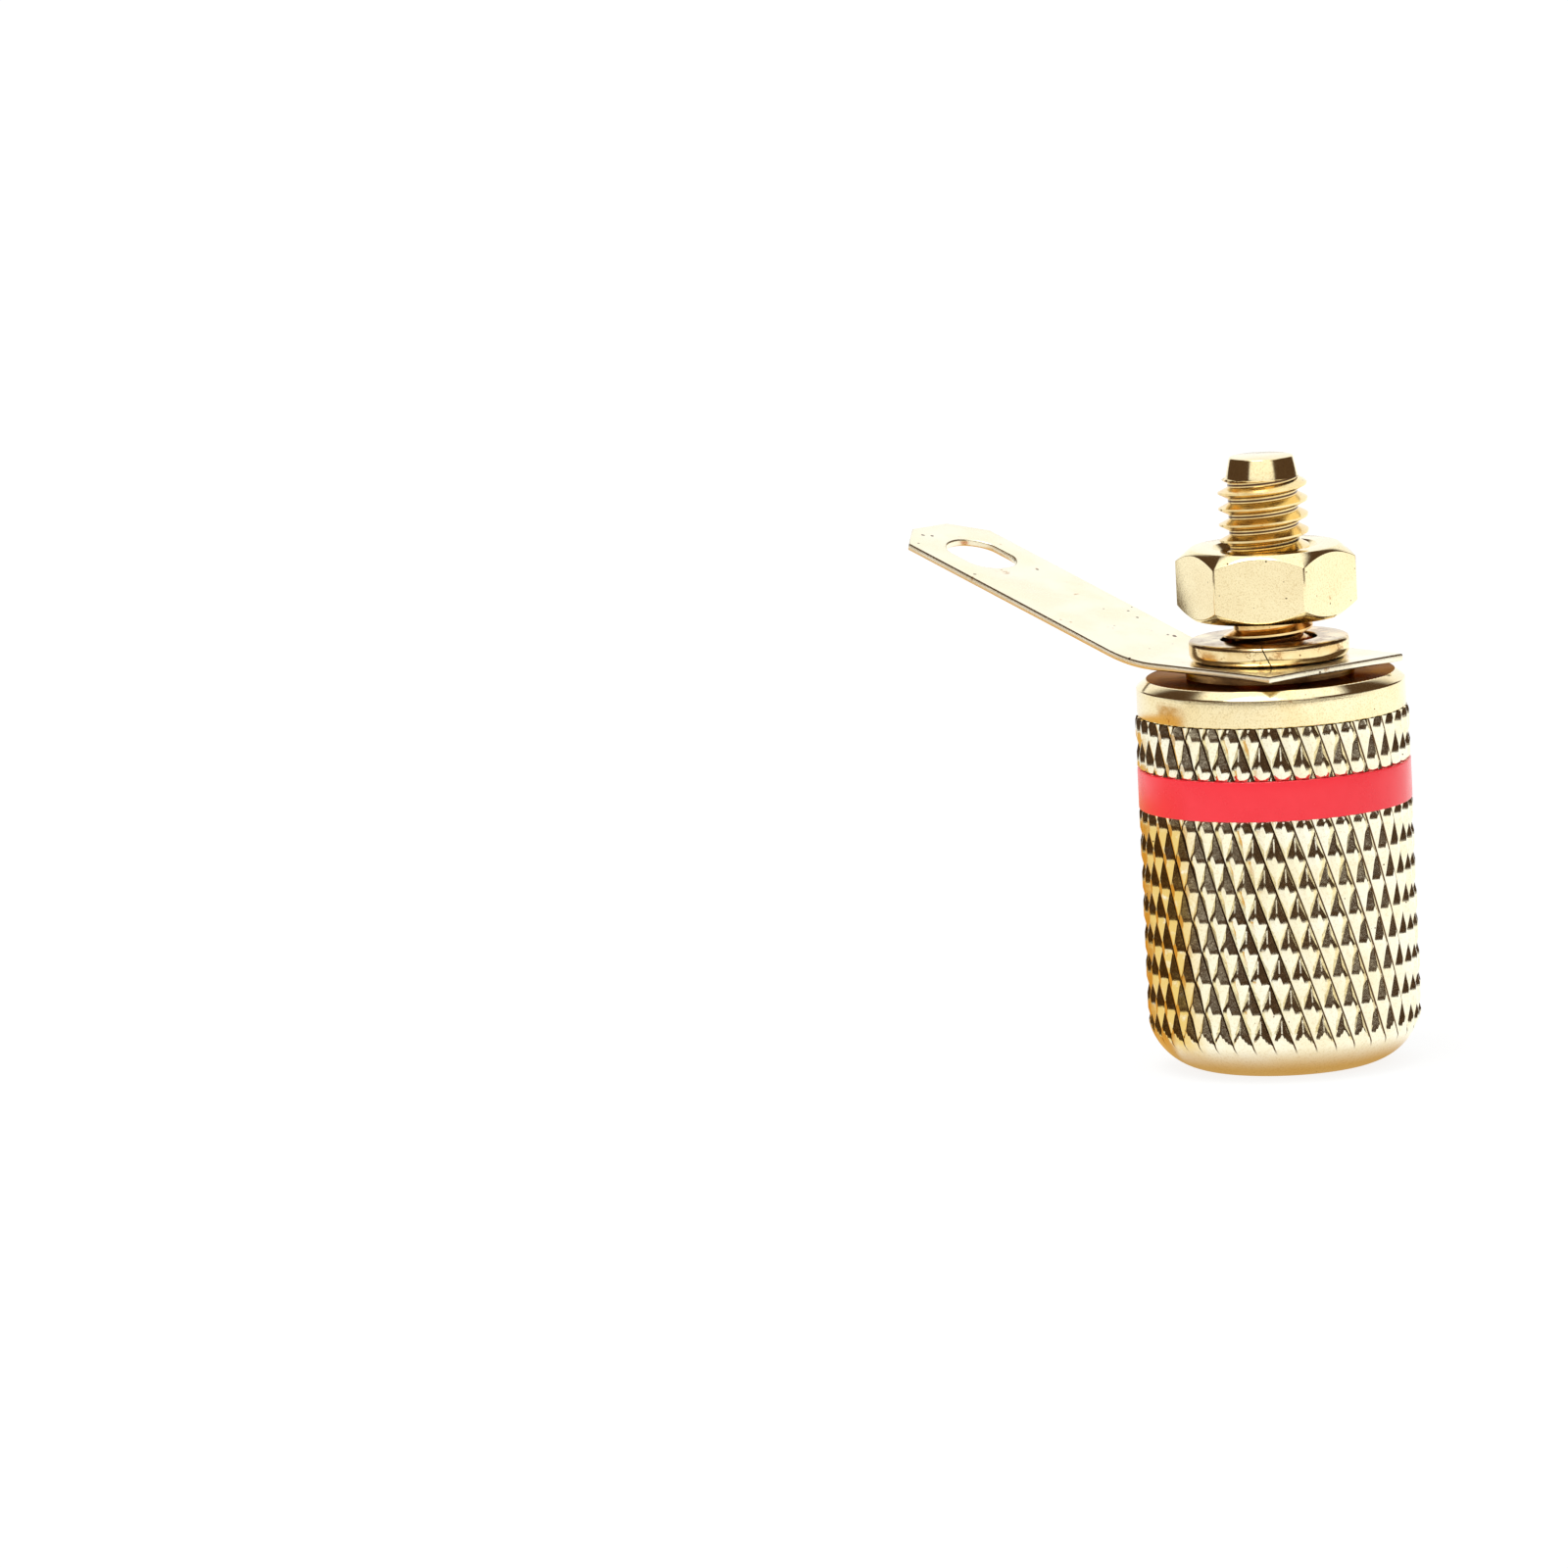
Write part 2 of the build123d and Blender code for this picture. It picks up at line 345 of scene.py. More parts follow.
# %% Table
table_side = 6.0
table_drop = 0.01 * MM
from_camera, reflected = ray_masks(tree)
seen = either(tree, from_camera, reflected)
far = smooth_step(tree, away, *shadow_reach)
own_white = either(tree, either(tree, own_white_share, far), reflected)
tint = blended(tree, reflected, grey(1.0), mirrored)
matt = add_node(tree, "ShaderNodeBsdfDiffuse", {"Color": paper_white})
glow = add_node(tree, "ShaderNodeEmission", {"Color": tint, "Strength": table_glow})
mixed = add_node(tree, "ShaderNodeMixShader",
                 {0: both(tree, seen, own_white), 1: matt.outputs[0], 2: glow.outputs[0]})
add_node(tree, "ShaderNodeOutputMaterial", {"Surface": mixed.outputs[0]})

half_side = table_side / 2
corners = [(-half_side, -half_side), (half_side, -half_side), (half_side, half_side), (-half_side, half_side)]
table_mesh = bpy.data.meshes.new("table")
table_mesh.from_pydata([(x, y, -table_drop) for x, y in corners], [], [(0, 1, 2, 3)])
table_mesh.materials.append(paper)
table = placed("table", table_mesh)
table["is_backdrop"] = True
print("table:", table_side, "m wide,", round(table_drop / MM, 3), "mm below the nose")

# %% [markdown]
# ## Shared effects
# Turned and plated brass has marks that show close up. Each kind of mark is a node group here, since
# several materials share it. A group has named inputs, so that each material sets how fine or how
# strong its marks are.

# %% Node groups
def open_group(name, inputs, outputs):
    """New node group with float inputs {name: value} and float outputs."""
    group = bpy.data.node_groups.new(name, "ShaderNodeTree")
    for label, value in inputs.items():
        socket = group.interface.new_socket(label, in_out="INPUT", socket_type="NodeSocketFloat")
        socket.default_value = value
    for label in outputs:
        group.interface.new_socket(label, in_out="OUTPUT", socket_type="NodeSocketFloat")
    return group, group.nodes.new("NodeGroupInput").outputs, group.nodes.new("NodeGroupOutput").inputs


def place_group(tree, group, **values):
    """Places a group and gives its only output; an input Name is written name=value."""
    made = tree.nodes.new("ShaderNodeGroup")
    made.node_tree = group
    for label, value in values.items():
        made.inputs[label.replace("_", " ").capitalize()].default_value = value
    return made.outputs[0]


# %% [markdown]
# The lathe leaves fine rings round the axis. The post stands on its axis at the origin, so the rings
# are noise that is stretched round the Z axis. The plating has a fine grain, like the skin of an
# orange but far smaller.

# %% Lathe marks and plating grain
def object_place(tree):
    return add_node(tree, "ShaderNodeTexCoord").outputs["Object"]


def per_mm(tree, value):
    return maths(tree, "DIVIDE", value, MM)


lathe_marks, given, put = open_group("lathe marks", {"Rings per mm": 8.0}, ["Height"])
split = parts_of(lathe_marks, object_place(lathe_marks))
squares = [maths(lathe_marks, "MULTIPLY", split[axis], split[axis]) for axis in "XY"]
radius = maths(lathe_marks, "SQRT", maths(lathe_marks, "ADD", *squares))
rings_per_metre = per_mm(lathe_marks, given["Rings per mm"])
turn = maths(lathe_marks, "ARCTAN2", split["Y"], split["X"])
rings = add_node(lathe_marks, "ShaderNodeCombineXYZ",
                 {"X": maths(lathe_marks, "MULTIPLY", radius, rings_per_metre),
                  "Y": maths(lathe_marks, "MULTIPLY", split["Z"], rings_per_metre),
                  "Z": maths(lathe_marks, "ABSOLUTE", turn)})
lathe_marks.links.new(noise(lathe_marks, rings.outputs[0], 1.0, detail=2.0), put["Height"])

plating_grain, given, put = open_group("plating grain", {"Grains per mm": 12.0}, ["Height"])
scale = per_mm(plating_grain, given["Grains per mm"])
grains = noise(plating_grain, object_place(plating_grain), scale, detail=3.0, roughness=0.6)
plating_grain.links.new(grains, put["Height"])
print("height groups:", lathe_marks.name, "and", plating_grain.name)

# %% [markdown]
# Fingers leave cloudy patches that are a little less shiny, thin spots of the plating turn brown, and
# dirt settles in small pits. The first two are clouds of noise, cut off softly or sharply. The pits
# are the middles of scattered cells, left out where a second noise is low.

# %% Handling, tarnish and pits
tarnish_softness = 0.06
pit_choice, pit_edge = (0.5, 0.75), (-0.02, 0.03)

handling, given, put = open_group("handling", {"Patches per mm": 0.5, "Softness": 0.2}, ["Mask"])
scale = per_mm(handling, given["Patches per mm"])
clouds = noise(handling, object_place(handling), scale, detail=4.0, roughness=0.55)
low = maths(handling, "SUBTRACT", 0.5, given["Softness"])
high = maths(handling, "ADD", 0.5, given["Softness"])
handling.links.new(smooth_step(handling, clouds, low, high), put["Mask"])

tarnish, given, put = open_group("tarnish", {"Spots per mm": 1.0, "Threshold": 0.64}, ["Mask"])
scale = per_mm(tarnish, given["Spots per mm"])
blots = noise(tarnish, object_place(tarnish), scale, detail=6.0, roughness=0.7)
upper = maths(tarnish, "ADD", given["Threshold"], tarnish_softness)
tarnish.links.new(smooth_step(tarnish, blots, given["Threshold"], upper), put["Mask"])

pits, given, put = open_group("pits", {"Cells per mm": 3.0, "Size": 0.16}, ["Mask"])
scale = per_mm(pits, given["Cells per mm"])
cells = add_node(pits, "ShaderNodeTexVoronoi", {"Vector": object_place(pits), "Scale": scale})
chosen = noise(pits, object_place(pits), scale, detail=2.0)
reach = maths(pits, "MULTIPLY", given["Size"], smooth_step(pits, chosen, *pit_choice))
nearness = maths(pits, "SUBTRACT", reach, cells.outputs["Distance"])
pits.links.new(smooth_step(pits, nearness, *pit_edge), put["Mask"])
print("mask groups:", handling.name, tarnish.name, pits.name)

# %% [markdown]
# Painted shade also lies, in patches, on small faces that look up, which the surface's normal shows.
# And down one side of the cap a painted golden reflection is laid on, in streaks between two heights.

# %% Painted shade on upward faces and a painted golden reflection
upward_shade_slope, upward_shade_patches = (0.04, 0.11), (0.36, 0.56)
reflection_sector = {"bearing": -70, "half_angle": 28, "softness": 8.0}
reflection_fade_mm = 1.2
streaks_per_mm, streak_edge = 2.2, (0.20, 0.46)

# Painted shade on faces that look up, in speckled patches.
upward_painted_shade, given, put = open_group("upward painted shade", {"Specks per mm": 7.0}, ["Mask"])
facing = add_node(upward_painted_shade, "ShaderNodeNewGeometry").outputs["Normal"]
upward = parts_of(upward_painted_shade, facing)["Z"]
specks = noise(upward_painted_shade, object_place(upward_painted_shade), per_mm(upward_painted_shade, given["Specks per mm"]))
patchy_shade = smooth_step(upward_painted_shade, specks, *upward_shade_patches)
upward_painted_shade.links.new(both(upward_painted_shade, smooth_step(upward_painted_shade, upward, *upward_shade_slope), patchy_shade), put["Mask"])

# Painted golden reflection: a streaky band on one side, between two heights.
side_painted_reflection, given, put = open_group("side painted reflection", {"Low mm": 0.0, "High mm": 1.0}, ["Mask"])
place = object_place(side_painted_reflection)
reflecting_side = towards(side_painted_reflection, level_heading(side_painted_reflection, place), **reflection_sector)
height_mm = per_mm(side_painted_reflection, parts_of(side_painted_reflection, place)["Z"])
below = maths(side_painted_reflection, "ADD", given["Low mm"], reflection_fade_mm)
above = maths(side_painted_reflection, "SUBTRACT", given["High mm"], reflection_fade_mm)
over_low = smooth_step(side_painted_reflection, height_mm, given["Low mm"], below)
under_high = outside(side_painted_reflection, smooth_step(side_painted_reflection, height_mm, above, given["High mm"]))
in_reflection_band = both(side_painted_reflection, reflecting_side, both(side_painted_reflection, over_low, under_high))
streaks = noise(side_painted_reflection, place, streaks_per_mm / MM, detail=4.0)
reflected_streaks = both(side_painted_reflection, in_reflection_band, smooth_step(side_painted_reflection, streaks, *streak_edge))
side_painted_reflection.links.new(reflected_streaks, put["Mask"])
print("mask groups:", upward_painted_shade.name, "and", side_painted_reflection.name)

# %% [markdown]
# Last, painted shade lies as a thin line at the bottom of a thread or of a knurled groove. Both are
# screws: a thread has one start, and a knurl has one for each groove. The distance from the line is
# the share of a turn that is left over when turning and climbing are added up.

# %% Screw lines of painted shade
begin_mm = 0.4
# Painted shade: a thin dark line along the root of a thread or a knurl groove.
screw_shade_lines, given, put = open_group(
    "screw shade lines", {"Starts": 1.0, "Lead mm": 0.7, "Height mm": 0.0, "Half width": 0.05, "From mm": 0.0},
    ["Mask"])


def screw_sum(operation, first, second=0.0):
    return maths(screw_shade_lines, operation, first, second)


split = parts_of(screw_shade_lines, object_place(screw_shade_lines))
turns = screw_sum("DIVIDE", screw_sum("ARCTAN2", split["Y"], split["X"]), 2 * math.pi)
height_mm = screw_sum("DIVIDE", split["Z"], MM)
climb = screw_sum("DIVIDE", screw_sum("SUBTRACT", height_mm, given["Height mm"]), given["Lead mm"])
phase = screw_sum("ADD", screw_sum("MULTIPLY", turns, given["Starts"]), climb)
from_line = screw_sum("ABSOLUTE", screw_sum("SUBTRACT", screw_sum("FRACT", phase), 0.5))
core = screw_sum("MULTIPLY", given["Half width"], 0.5)
on_line = outside(screw_shade_lines, smooth_step(screw_shade_lines, from_line, core, given["Half width"]))
whole_from = screw_sum("ADD", given["From mm"], begin_mm)
begun = smooth_step(screw_shade_lines, height_mm, given["From mm"], whole_from)
screw_shade_lines.links.new(both(screw_shade_lines, on_line, begun), put["Mask"])
print("mask group:", screw_shade_lines.name)

# %% [markdown]
# ## Materials
# Gold over nickel over brass is a pale yellow mirror. One function builds it, because the cap, the
# body, the nut, the washer and the tag differ only in colour, in how rough they are and in how
# strongly each mark shows. Colour and roughness change in the cloudy patches, tarnish and pits
# darken it, painted shade darkens faces that look up and the roots of grooves where asked, a painted
# golden reflection may be laid on one side, and the fine marks go through one Bump node each. The
# recess under the tag is painted browner as shade, and so is its shine at the edges.

# %% Plated brass
gold = (0.97, 0.865, 0.57, 1.0)
gold_deep = (0.94, 0.79, 0.45, 1.0)
tarnish_brown, tarnish_strength = (0.55, 0.30, 0.11, 1.0), 0.75
speckle_brown, speckle_edge = (0.60, 0.42, 0.17, 1.0), (0.48, 0.66)
# Gold of a painted reflection, laid in streaks down one side.
reflection_gold, reflection_strength = (0.80, 0.54, 0.11, 1.0), 0.85
# Brown of dirt in pits, and of painted shade on upward faces and in screw roots.
pit_and_shade_brown = (0.12, 0.06, 0.025, 1.0)


def plated_brass(name, roughness, pale=gold, deep=gold_deep, lathe_depth=0.0, grain_depth=0.0,
                 grains_per_mm=12.0, spots_per_mm=0.9, spot_threshold=0.66, cells_per_mm=3.0, pit_size=0.16,
                 mottle=0.0, upward_shade_strength=0.0, upward_shade_specks=7.0, lines=None, side_reflection=None, edge_tint=(1, 1, 1, 1)):
    """Plated brass with two roughnesses, clean and cloudy, and marks of the given depths in metres."""
    made, tree = new_material(name)
    patches = place_group(tree, handling, patches_per_mm=0.45, softness=0.18)
    spots = place_group(tree, tarnish, spots_per_mm=spots_per_mm, threshold=spot_threshold)
    holes = place_group(tree, pits, cells_per_mm=cells_per_mm, size=pit_size)
    rings = place_group(tree, lathe_marks, rings_per_mm=8.0)
    grain = place_group(tree, plating_grain, grains_per_mm=grains_per_mm)
    lathe_bump = add_node(tree, "ShaderNodeBump", {"Height": rings, "Distance": lathe_depth})
    grain_bump = add_node(tree, "ShaderNodeBump", {"Height": grain, "Distance": grain_depth,
                                                   "Normal": lathe_bump.outputs[0]})
    colour = blended(tree, patches, pale, deep)
    speckle = maths(tree, "MULTIPLY", smooth_step(tree, grain, *speckle_edge), mottle)
    colour = blended(tree, speckle, colour, speckle_brown)
    colour = blended(tree, maths(tree, "MULTIPLY", spots, tarnish_strength), colour, tarnish_brown)
    # Painted golden reflection in streaks on one side.
    if side_reflection is not None:
        reflected_streaks = place_group(tree, side_painted_reflection, **side_reflection)
        colour = blended(tree, maths(tree, "MULTIPLY", reflected_streaks, reflection_strength), colour, reflection_gold)
    # Pits are dirt; upward faces and screw roots get painted shade in the same brown.
    upward_shade_mask = place_group(tree, upward_painted_shade, specks_per_mm=upward_shade_specks)
    dirt_and_shade = either(tree, holes, maths(tree, "MULTIPLY", upward_shade_mask, upward_shade_strength))
    if lines is not None:
        dirt_and_shade = either(tree, dirt_and_shade, place_group(tree, screw_shade_lines, **lines))
    colour = blended(tree, dirt_and_shade, colour, pit_and_shade_brown)
    cloudy = either(tree, patches, spots)
    gloss = add_node(tree, "ShaderNodeMapRange", {0: cloudy, 3: roughness[0], 4: roughness[1]}).outputs[0]
    surface = add_node(tree, "ShaderNodeBsdfPrincipled",
                       {"Base Color": colour, "Metallic": 1.0, "Roughness": gloss,
                        "Specular Tint": edge_tint, "Normal": grain_bump.outputs[0]})
    add_node(tree, "ShaderNodeOutputMaterial", {"Surface": surface.outputs[0]})
    print(f"{name}: {len(tree.nodes)} nodes, roughness {roughness[0]} to {roughness[1]}")
    return made


body_brass = plated_brass("body_brass", (0.09, 0.17), pale=(0.965, 0.85, 0.54, 1.0),
                          deep=(0.93, 0.77, 0.43, 1.0), lathe_depth=0.0012 * MM, grain_depth=0.0007 * MM,
                          mottle=0.35)
# Painted shade: the recess under the tag gets dark brown colours and a brown edge tint.
recess_painted_shade = plated_brass("recess_painted_shade", (0.14, 0.26), pale=(0.60, 0.36, 0.14, 1.0),
                            deep=(0.17, 0.08, 0.030, 1.0), grain_depth=0.002 * MM,
                            edge_tint=(0.35, 0.20, 0.09, 1.0))
nut_brass = plated_brass("nut_brass", (0.08, 0.13), pale=(0.99, 0.87, 0.54, 1.0),
                         deep=(0.96, 0.82, 0.49, 1.0), lathe_depth=0.0002 * MM, grain_depth=0.0014 * MM,
                         grains_per_mm=15.0, cells_per_mm=3.5, pit_size=0.22, mottle=0.40)
# The washer's top gets painted shade on its upward faces.
washer_brass = plated_brass("washer_brass", (0.10, 0.2), pale=(0.95, 0.79, 0.44, 1.0),
                            deep=(0.80, 0.51, 0.19, 1.0), lathe_depth=0.0003 * MM,
                            grain_depth=0.0015 * MM, spots_per_mm=1.4, spot_threshold=0.54,
                            upward_shade_strength=0.5, upward_shade_specks=0.7)

# %% [markdown]
# The tag is stamped from sheet, not turned. Its plating is paler and more satin, and its broad face
# carries a few specks and stains, which are the same pits and tarnish in a coarser setting.

# %% Plated sheet
sheet_pale = (0.975, 0.92, 0.74, 1.0)
sheet_deep = (0.95, 0.875, 0.65, 1.0)
tag_sheet = plated_brass("tag_sheet", (0.20, 0.28), pale=sheet_pale, deep=sheet_deep,
                         grain_depth=0.0022 * MM, grains_per_mm=7.0, spots_per_mm=0.8,
                         spot_threshold=0.645, cells_per_mm=1.6, pit_size=0.20)

# %% [markdown]
# The ring is moulded in glossy red plastic. Its colour is even; what varies is the gloss, which
# thumbs and the mould's surface have clouded a little.

# %% Red plastic
red, red_deep = (0.96, 0.030, 0.046, 1.0), (0.93, 0.026, 0.041, 1.0)
clean_gloss, cloudy_gloss = 0.20, 0.30
ripple_depth = 0.0008 * MM
ring_plastic, tree = new_material("red_ring_plastic")
patches = place_group(tree, handling, patches_per_mm=0.8, softness=0.2)
grain = place_group(tree, plating_grain, grains_per_mm=5.0)
colour = blended(tree, patches, red, red_deep)
gloss = add_node(tree, "ShaderNodeMapRange", {0: patches, 3: clean_gloss, 4: cloudy_gloss}).outputs[0]
ripple = add_node(tree, "ShaderNodeBump", {"Height": grain, "Distance": ripple_depth})
surface = add_node(tree, "ShaderNodeBsdfPrincipled",
                   {"Base Color": colour, "Roughness": gloss, "IOR": 1.45, "Normal": ripple.outputs[0]})
add_node(tree, "ShaderNodeOutputMaterial", {"Surface": surface.outputs[0]})
print(f"{ring_plastic.name}: {len(tree.nodes)} nodes, roughness {clean_gloss} to {cloudy_gloss}")

# %% [markdown]
# ## Turned pieces in code
# A lathe makes a shape from its half section, and so does this script: it walks along the section
# and sweeps every point round the axis. First comes the section. Its corners are rounded by a few
# hundredths of a millimetre, since plating never leaves a sharp edge and the small radius is what
# catches the light.

# %% Section with rounded corners
def rounded(corners, size, cuts=3, closed=True):
    """Section whose corners are rounded; a corner is (radius, height) or (radius, height, its own size)."""
    longest_share = 0.45
    count = len(corners)
    points = []
    for index, corner in enumerate(corners):
        here = np.array(corner[:2], float)
        own_size = corner[2] if len(corner) > 2 else size
        at_end = not closed and index in (0, count - 1)
        if at_end or own_size == 0:
            points.append(here)
            continue
        before = np.array(corners[index - 1][:2], float) - here
        after = np.array(corners[(index + 1) % count][:2], float) - here
        before_length, after_length = np.linalg.norm(before), np.linalg.norm(after)
        reach = min(own_size, longest_share * before_length, longest_share * after_length)
        start = here + before / before_length * reach
        end = here + after / after_length * reach
        for cut in range(cuts + 1):
            share = cut / cuts
            points.append((1 - share)**2 * start + 2 * share * (1 - share) * here + share**2 * end)
    return np.array(points)


def rows_between(low, high, first, step):
    """Heights first + n step that lie between two heights, from low to high."""
    spare = 0.2
    start = math.ceil((low - first) / step + spare)
    stop = math.floor((high - first) / step - spare)
    return [first + step * number for number in range(start, stop + 1)]


# %% [markdown]
# The sweep may change the radius with the angle, which is how a knurl and a thread come from the
# same code. There each small square of the mesh is cut along the diagonal that fits the true surface
# better, so that grooves and crests stay straight and sharp. A section that starts and ends on the
# axis is open, and its many points there become one.

# %% Sweep round the axis
def edited(mesh, change):
    """The same mesh after a change to its bmesh."""
    edit = bmesh.new()
    edit.from_mesh(mesh)
    change(edit)
    edit.to_mesh(mesh)
    edit.free()
    return mesh


def turn_out(edit):
    """Turns the faces outwards, so that the mesh encloses its solid."""
    if edit.calc_volume(signed=True) < 0:
        bmesh.ops.reverse_faces(edit, faces=edit.faces)


def join_points(edit, apart=0.0002 * MM):
    """Makes one point of points in the same place."""
    bmesh.ops.remove_doubles(edit, verts=edit.verts, dist=apart)


def swept(name, section, columns, radius_at=None, lift=None, closed=True):
    """Mesh swept round Z from a section in mm, where radius_at and lift may move its points."""
    step = 2 * math.pi / columns
    base = np.repeat(section[:, :1], columns, axis=1)
    height = np.repeat(section[:, 1:2], columns, axis=1)
    around = np.broadcast_to(np.arange(columns) * step, base.shape)
    if lift is not None:
        height = height + lift(base, height, around)
    radius = base if radius_at is None else radius_at(base, height, around)
    rows = len(section) if closed else len(section) - 1
    numbers = np.arange(base.size).reshape(base.shape)

    def corner(values, up, along):
        return np.roll(values, (-up, -along), axis=(0, 1))[:rows]

    def mean(values):
        return sum(corner(values, up, along) for up in (0, 1) for along in (0, 1)) / 4

    a, b, c, d = (corner(numbers, *place) for place in ((0, 0), (0, 1), (1, 1), (1, 0)))
    if radius_at is None:
        faces = np.stack([a, b, c, d], axis=-1).reshape(-1, 4)
    else:
        middle = radius_at(mean(base), mean(height), around[:rows] + step / 2)
        rising = (corner(radius, 0, 0) + corner(radius, 1, 1)) / 2
        falling = (corner(radius, 0, 1) + corner(radius, 1, 0)) / 2
        fits = (np.abs(middle - rising) <= np.abs(middle - falling))[..., None]
        lower = np.where(fits, np.stack([a, b, c], axis=-1), np.stack([a, b, d], axis=-1))
        upper = np.where(fits, np.stack([a, c, d], axis=-1), np.stack([b, c, d], axis=-1))
        faces = np.concatenate([lower.reshape(-1, 3), upper.reshape(-1, 3)])
    points = np.stack([radius * np.cos(around), radius * np.sin(around), height], axis=2) * MM
    mesh = bpy.data.meshes.new(name)
    mesh.from_pydata(points.reshape(-1, 3).tolist(), [], faces.tolist())
    if not closed:
        edited(mesh, join_points)
    mesh.validate()
    return edited(mesh, turn_out)


# %% [markdown]
# Holes and flats are cut with exact Booleans, as a modifier whose result is kept as a mesh. Bevels
# come the same way, and so do weighted normals, which make flats shade flat beside small bevels.

# %% Cuts, bevels and even shading
def evaluated(made):
    """Mesh of an object with its modifiers done; the object is taken away."""
    graph = bpy.context.evaluated_depsgraph_get()
    result = bpy.data.meshes.new_from_object(made.evaluated_get(graph))
    bpy.data.objects.remove(made)
    return result


def reshaped(mesh, tool_mesh=None, operation="DIFFERENCE", bevel=0.0):
    """Mesh after an exact Boolean with a tool, or after a small bevel along its edges."""
    made = placed("blank", mesh)
    if tool_mesh is not None:
        tool = placed("tool", tool_mesh)
        boolean = made.modifiers.new("cut", "BOOLEAN")
        boolean.operation = operation
        boolean.solver = "EXACT"
        boolean.object = tool
    if bevel:
        edges = made.modifiers.new("edges", "BEVEL")
        edges.width = bevel
        edges.segments = 2
        edges.limit_method = "ANGLE"
        edges.angle_limit = math.radians(18)
    result = evaluated(made)
    result.name = mesh.name + "_cut"
    if tool_mesh is not None:
        bpy.data.objects.remove(tool)
    return result


def evened(mesh):
    """Mesh whose normals follow its large faces."""
    made = placed("evened", mesh)
    weights = made.modifiers.new("weights", "WEIGHTED_NORMAL")
    weights.keep_sharp = True
    weights.weight = 100
    return evaluated(made)


# %% [markdown]
# Every piece ends the same way: smooth faces with sharp creases, its material, the CAD node that it
# stands for, and the body that it moves with.

# %% Finish of a piece
crease_angle = math.radians(30)


def finished(name, mesh, body, node, material, even=False):
    """Object that stands for a CAD node: smooth, with its creases sharp, riding on its body."""
    mesh.shade_smooth()
    mesh.set_sharp_from_angle(angle=crease_angle)
    if even:
        mesh = evened(mesh)
    mesh.materials.clear()
    mesh.materials.append(material)
    made = placed(name, mesh)
    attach(made, body)
    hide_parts(node)
    print(f"{name}: {sum(len(p.vertices) - 2 for p in mesh.polygons)} triangles")
    return made


# %% [markdown]
# ## Thumb cap
# The knurl is the look of this cap. A knurling tool presses two sets of slanted grooves into the
# bar, and what is left between them is a field of diamond pyramids with small flat tops, the last of
# the bar's own skin. So the depth is worked out from two groove patterns, and the deeper one wins at
# each point. On this cap the grooves that fall to the right are cut deeper and run through as thin
# lines, darkened with painted shade in the cap's material, while the others only part the diamonds.
# The lathe then rounds the nose through the knurl, which leaves the scallops at its edge. A normal map
# could fake this from a distance, but the outline would stay smooth.

# %% Knurl
cap_radius = 6.0
knurl_count = 40
knurl_depth = 0.24
knurl_angle = math.radians(19.4)
knurl_row = math.pi * cap_radius / knurl_count / math.tan(knurl_angle)
knurl_first_row = 0.426
knurl_turn = math.radians(3.1 - 90)
deep_half_share, shallow_half_share = 6 / 16, 5 / 16
groove_floor = 5.2


def knurled(radius, height, angle):
    """Radius after knurling, never larger than the turned section."""
    across = (angle - knurl_turn) * knurl_count / (2 * math.pi)
    along = (height - knurl_first_row) / (2 * knurl_row)
    cuts = []
    for slant, half_share in ((across + along, deep_half_share), (across - along, shallow_half_share)):
        from_groove = 0.5 - np.abs(slant - np.round(slant))
        cuts.append((half_share - from_groove) / deep_half_share)
    skin = cap_radius - knurl_depth * np.clip(np.maximum(*cuts), 0, 1)
    return np.where(radius > groove_floor + 0.1, np.minimum(radius, skin), radius)


print("knurl:", knurl_count, "diamonds round,", round(2 * knurl_row, 2), "mm high,", knurl_depth, "mm deep")

# %% [markdown]
# The mesh of the cap follows the knurl: sixteen columns to a diamond and sixteen rows to its height,
# started where the knurl starts, so that every groove and every crest falls on mesh edges. The nose
# is an arc from the flat ring at its end to the side of the cap.

# %% Section of the thumb cap
MESH_PER_DIAMOND = 16
cap_length = span("thumb_cap")[1]
ring_bottom, ring_top = span("colour_ring")
groove_gap = 0.02
groove_start, groove_end = ring_bottom - groove_gap, ring_top + groove_gap
cap_bore, nose_chamfer, back_countersink = 2.9, 0.15, 0.35
nose_flat, nose_height = 3.3, 2.2
nose_reach = cap_radius - nose_flat
nose_radius = (nose_reach**2 + nose_height**2) / (2 * nose_height)
nose_sweep = math.asin(nose_reach / nose_radius)
nose_steps = 26
rim_height, rim_depth = 0.12, 0.12
groove_edge, back_edge = 0.05, 0.06
row_step = 2 * knurl_row / MESH_PER_DIAMOND

nose = [(nose_flat + nose_radius * math.sin(nose_sweep * step / nose_steps),
         nose_radius * (1 - math.cos(nose_sweep * step / nose_steps)), 0)
        for step in range(1, nose_steps + 1)]
below_ring = rows_between(nose_height, groove_start - groove_edge, knurl_first_row, row_step)
above_ring = rows_between(groove_end + rim_height, cap_length - back_edge, knurl_first_row, row_step)
cap_section = rounded([
    (cap_bore, cap_length - back_countersink),
    (cap_bore, nose_chamfer, 0.06),
    (cap_bore + nose_chamfer, 0, 0.05),
    (nose_flat, 0, 0),
    *nose,
    *[(cap_radius, height, 0) for height in below_ring],
    (cap_radius, groove_start - groove_edge, 0),
    (cap_radius - groove_edge, groove_start, 0),
    (groove_floor, groove_start, 0.02),
    (groove_floor, groove_end, 0.02),
    (cap_radius - rim_depth, groove_end, 0),
    (cap_radius, groove_end + rim_height, 0),
    *[(cap_radius, height, 0) for height in above_ring],
    (cap_radius, cap_length - back_edge, 0),
    (cap_radius - back_edge, cap_length, 0),
    (cap_bore + back_countersink, cap_length),
], 0.05)
print("section of the cap:", len(cap_section), "points, nose radius", round(nose_radius, 2), "mm")

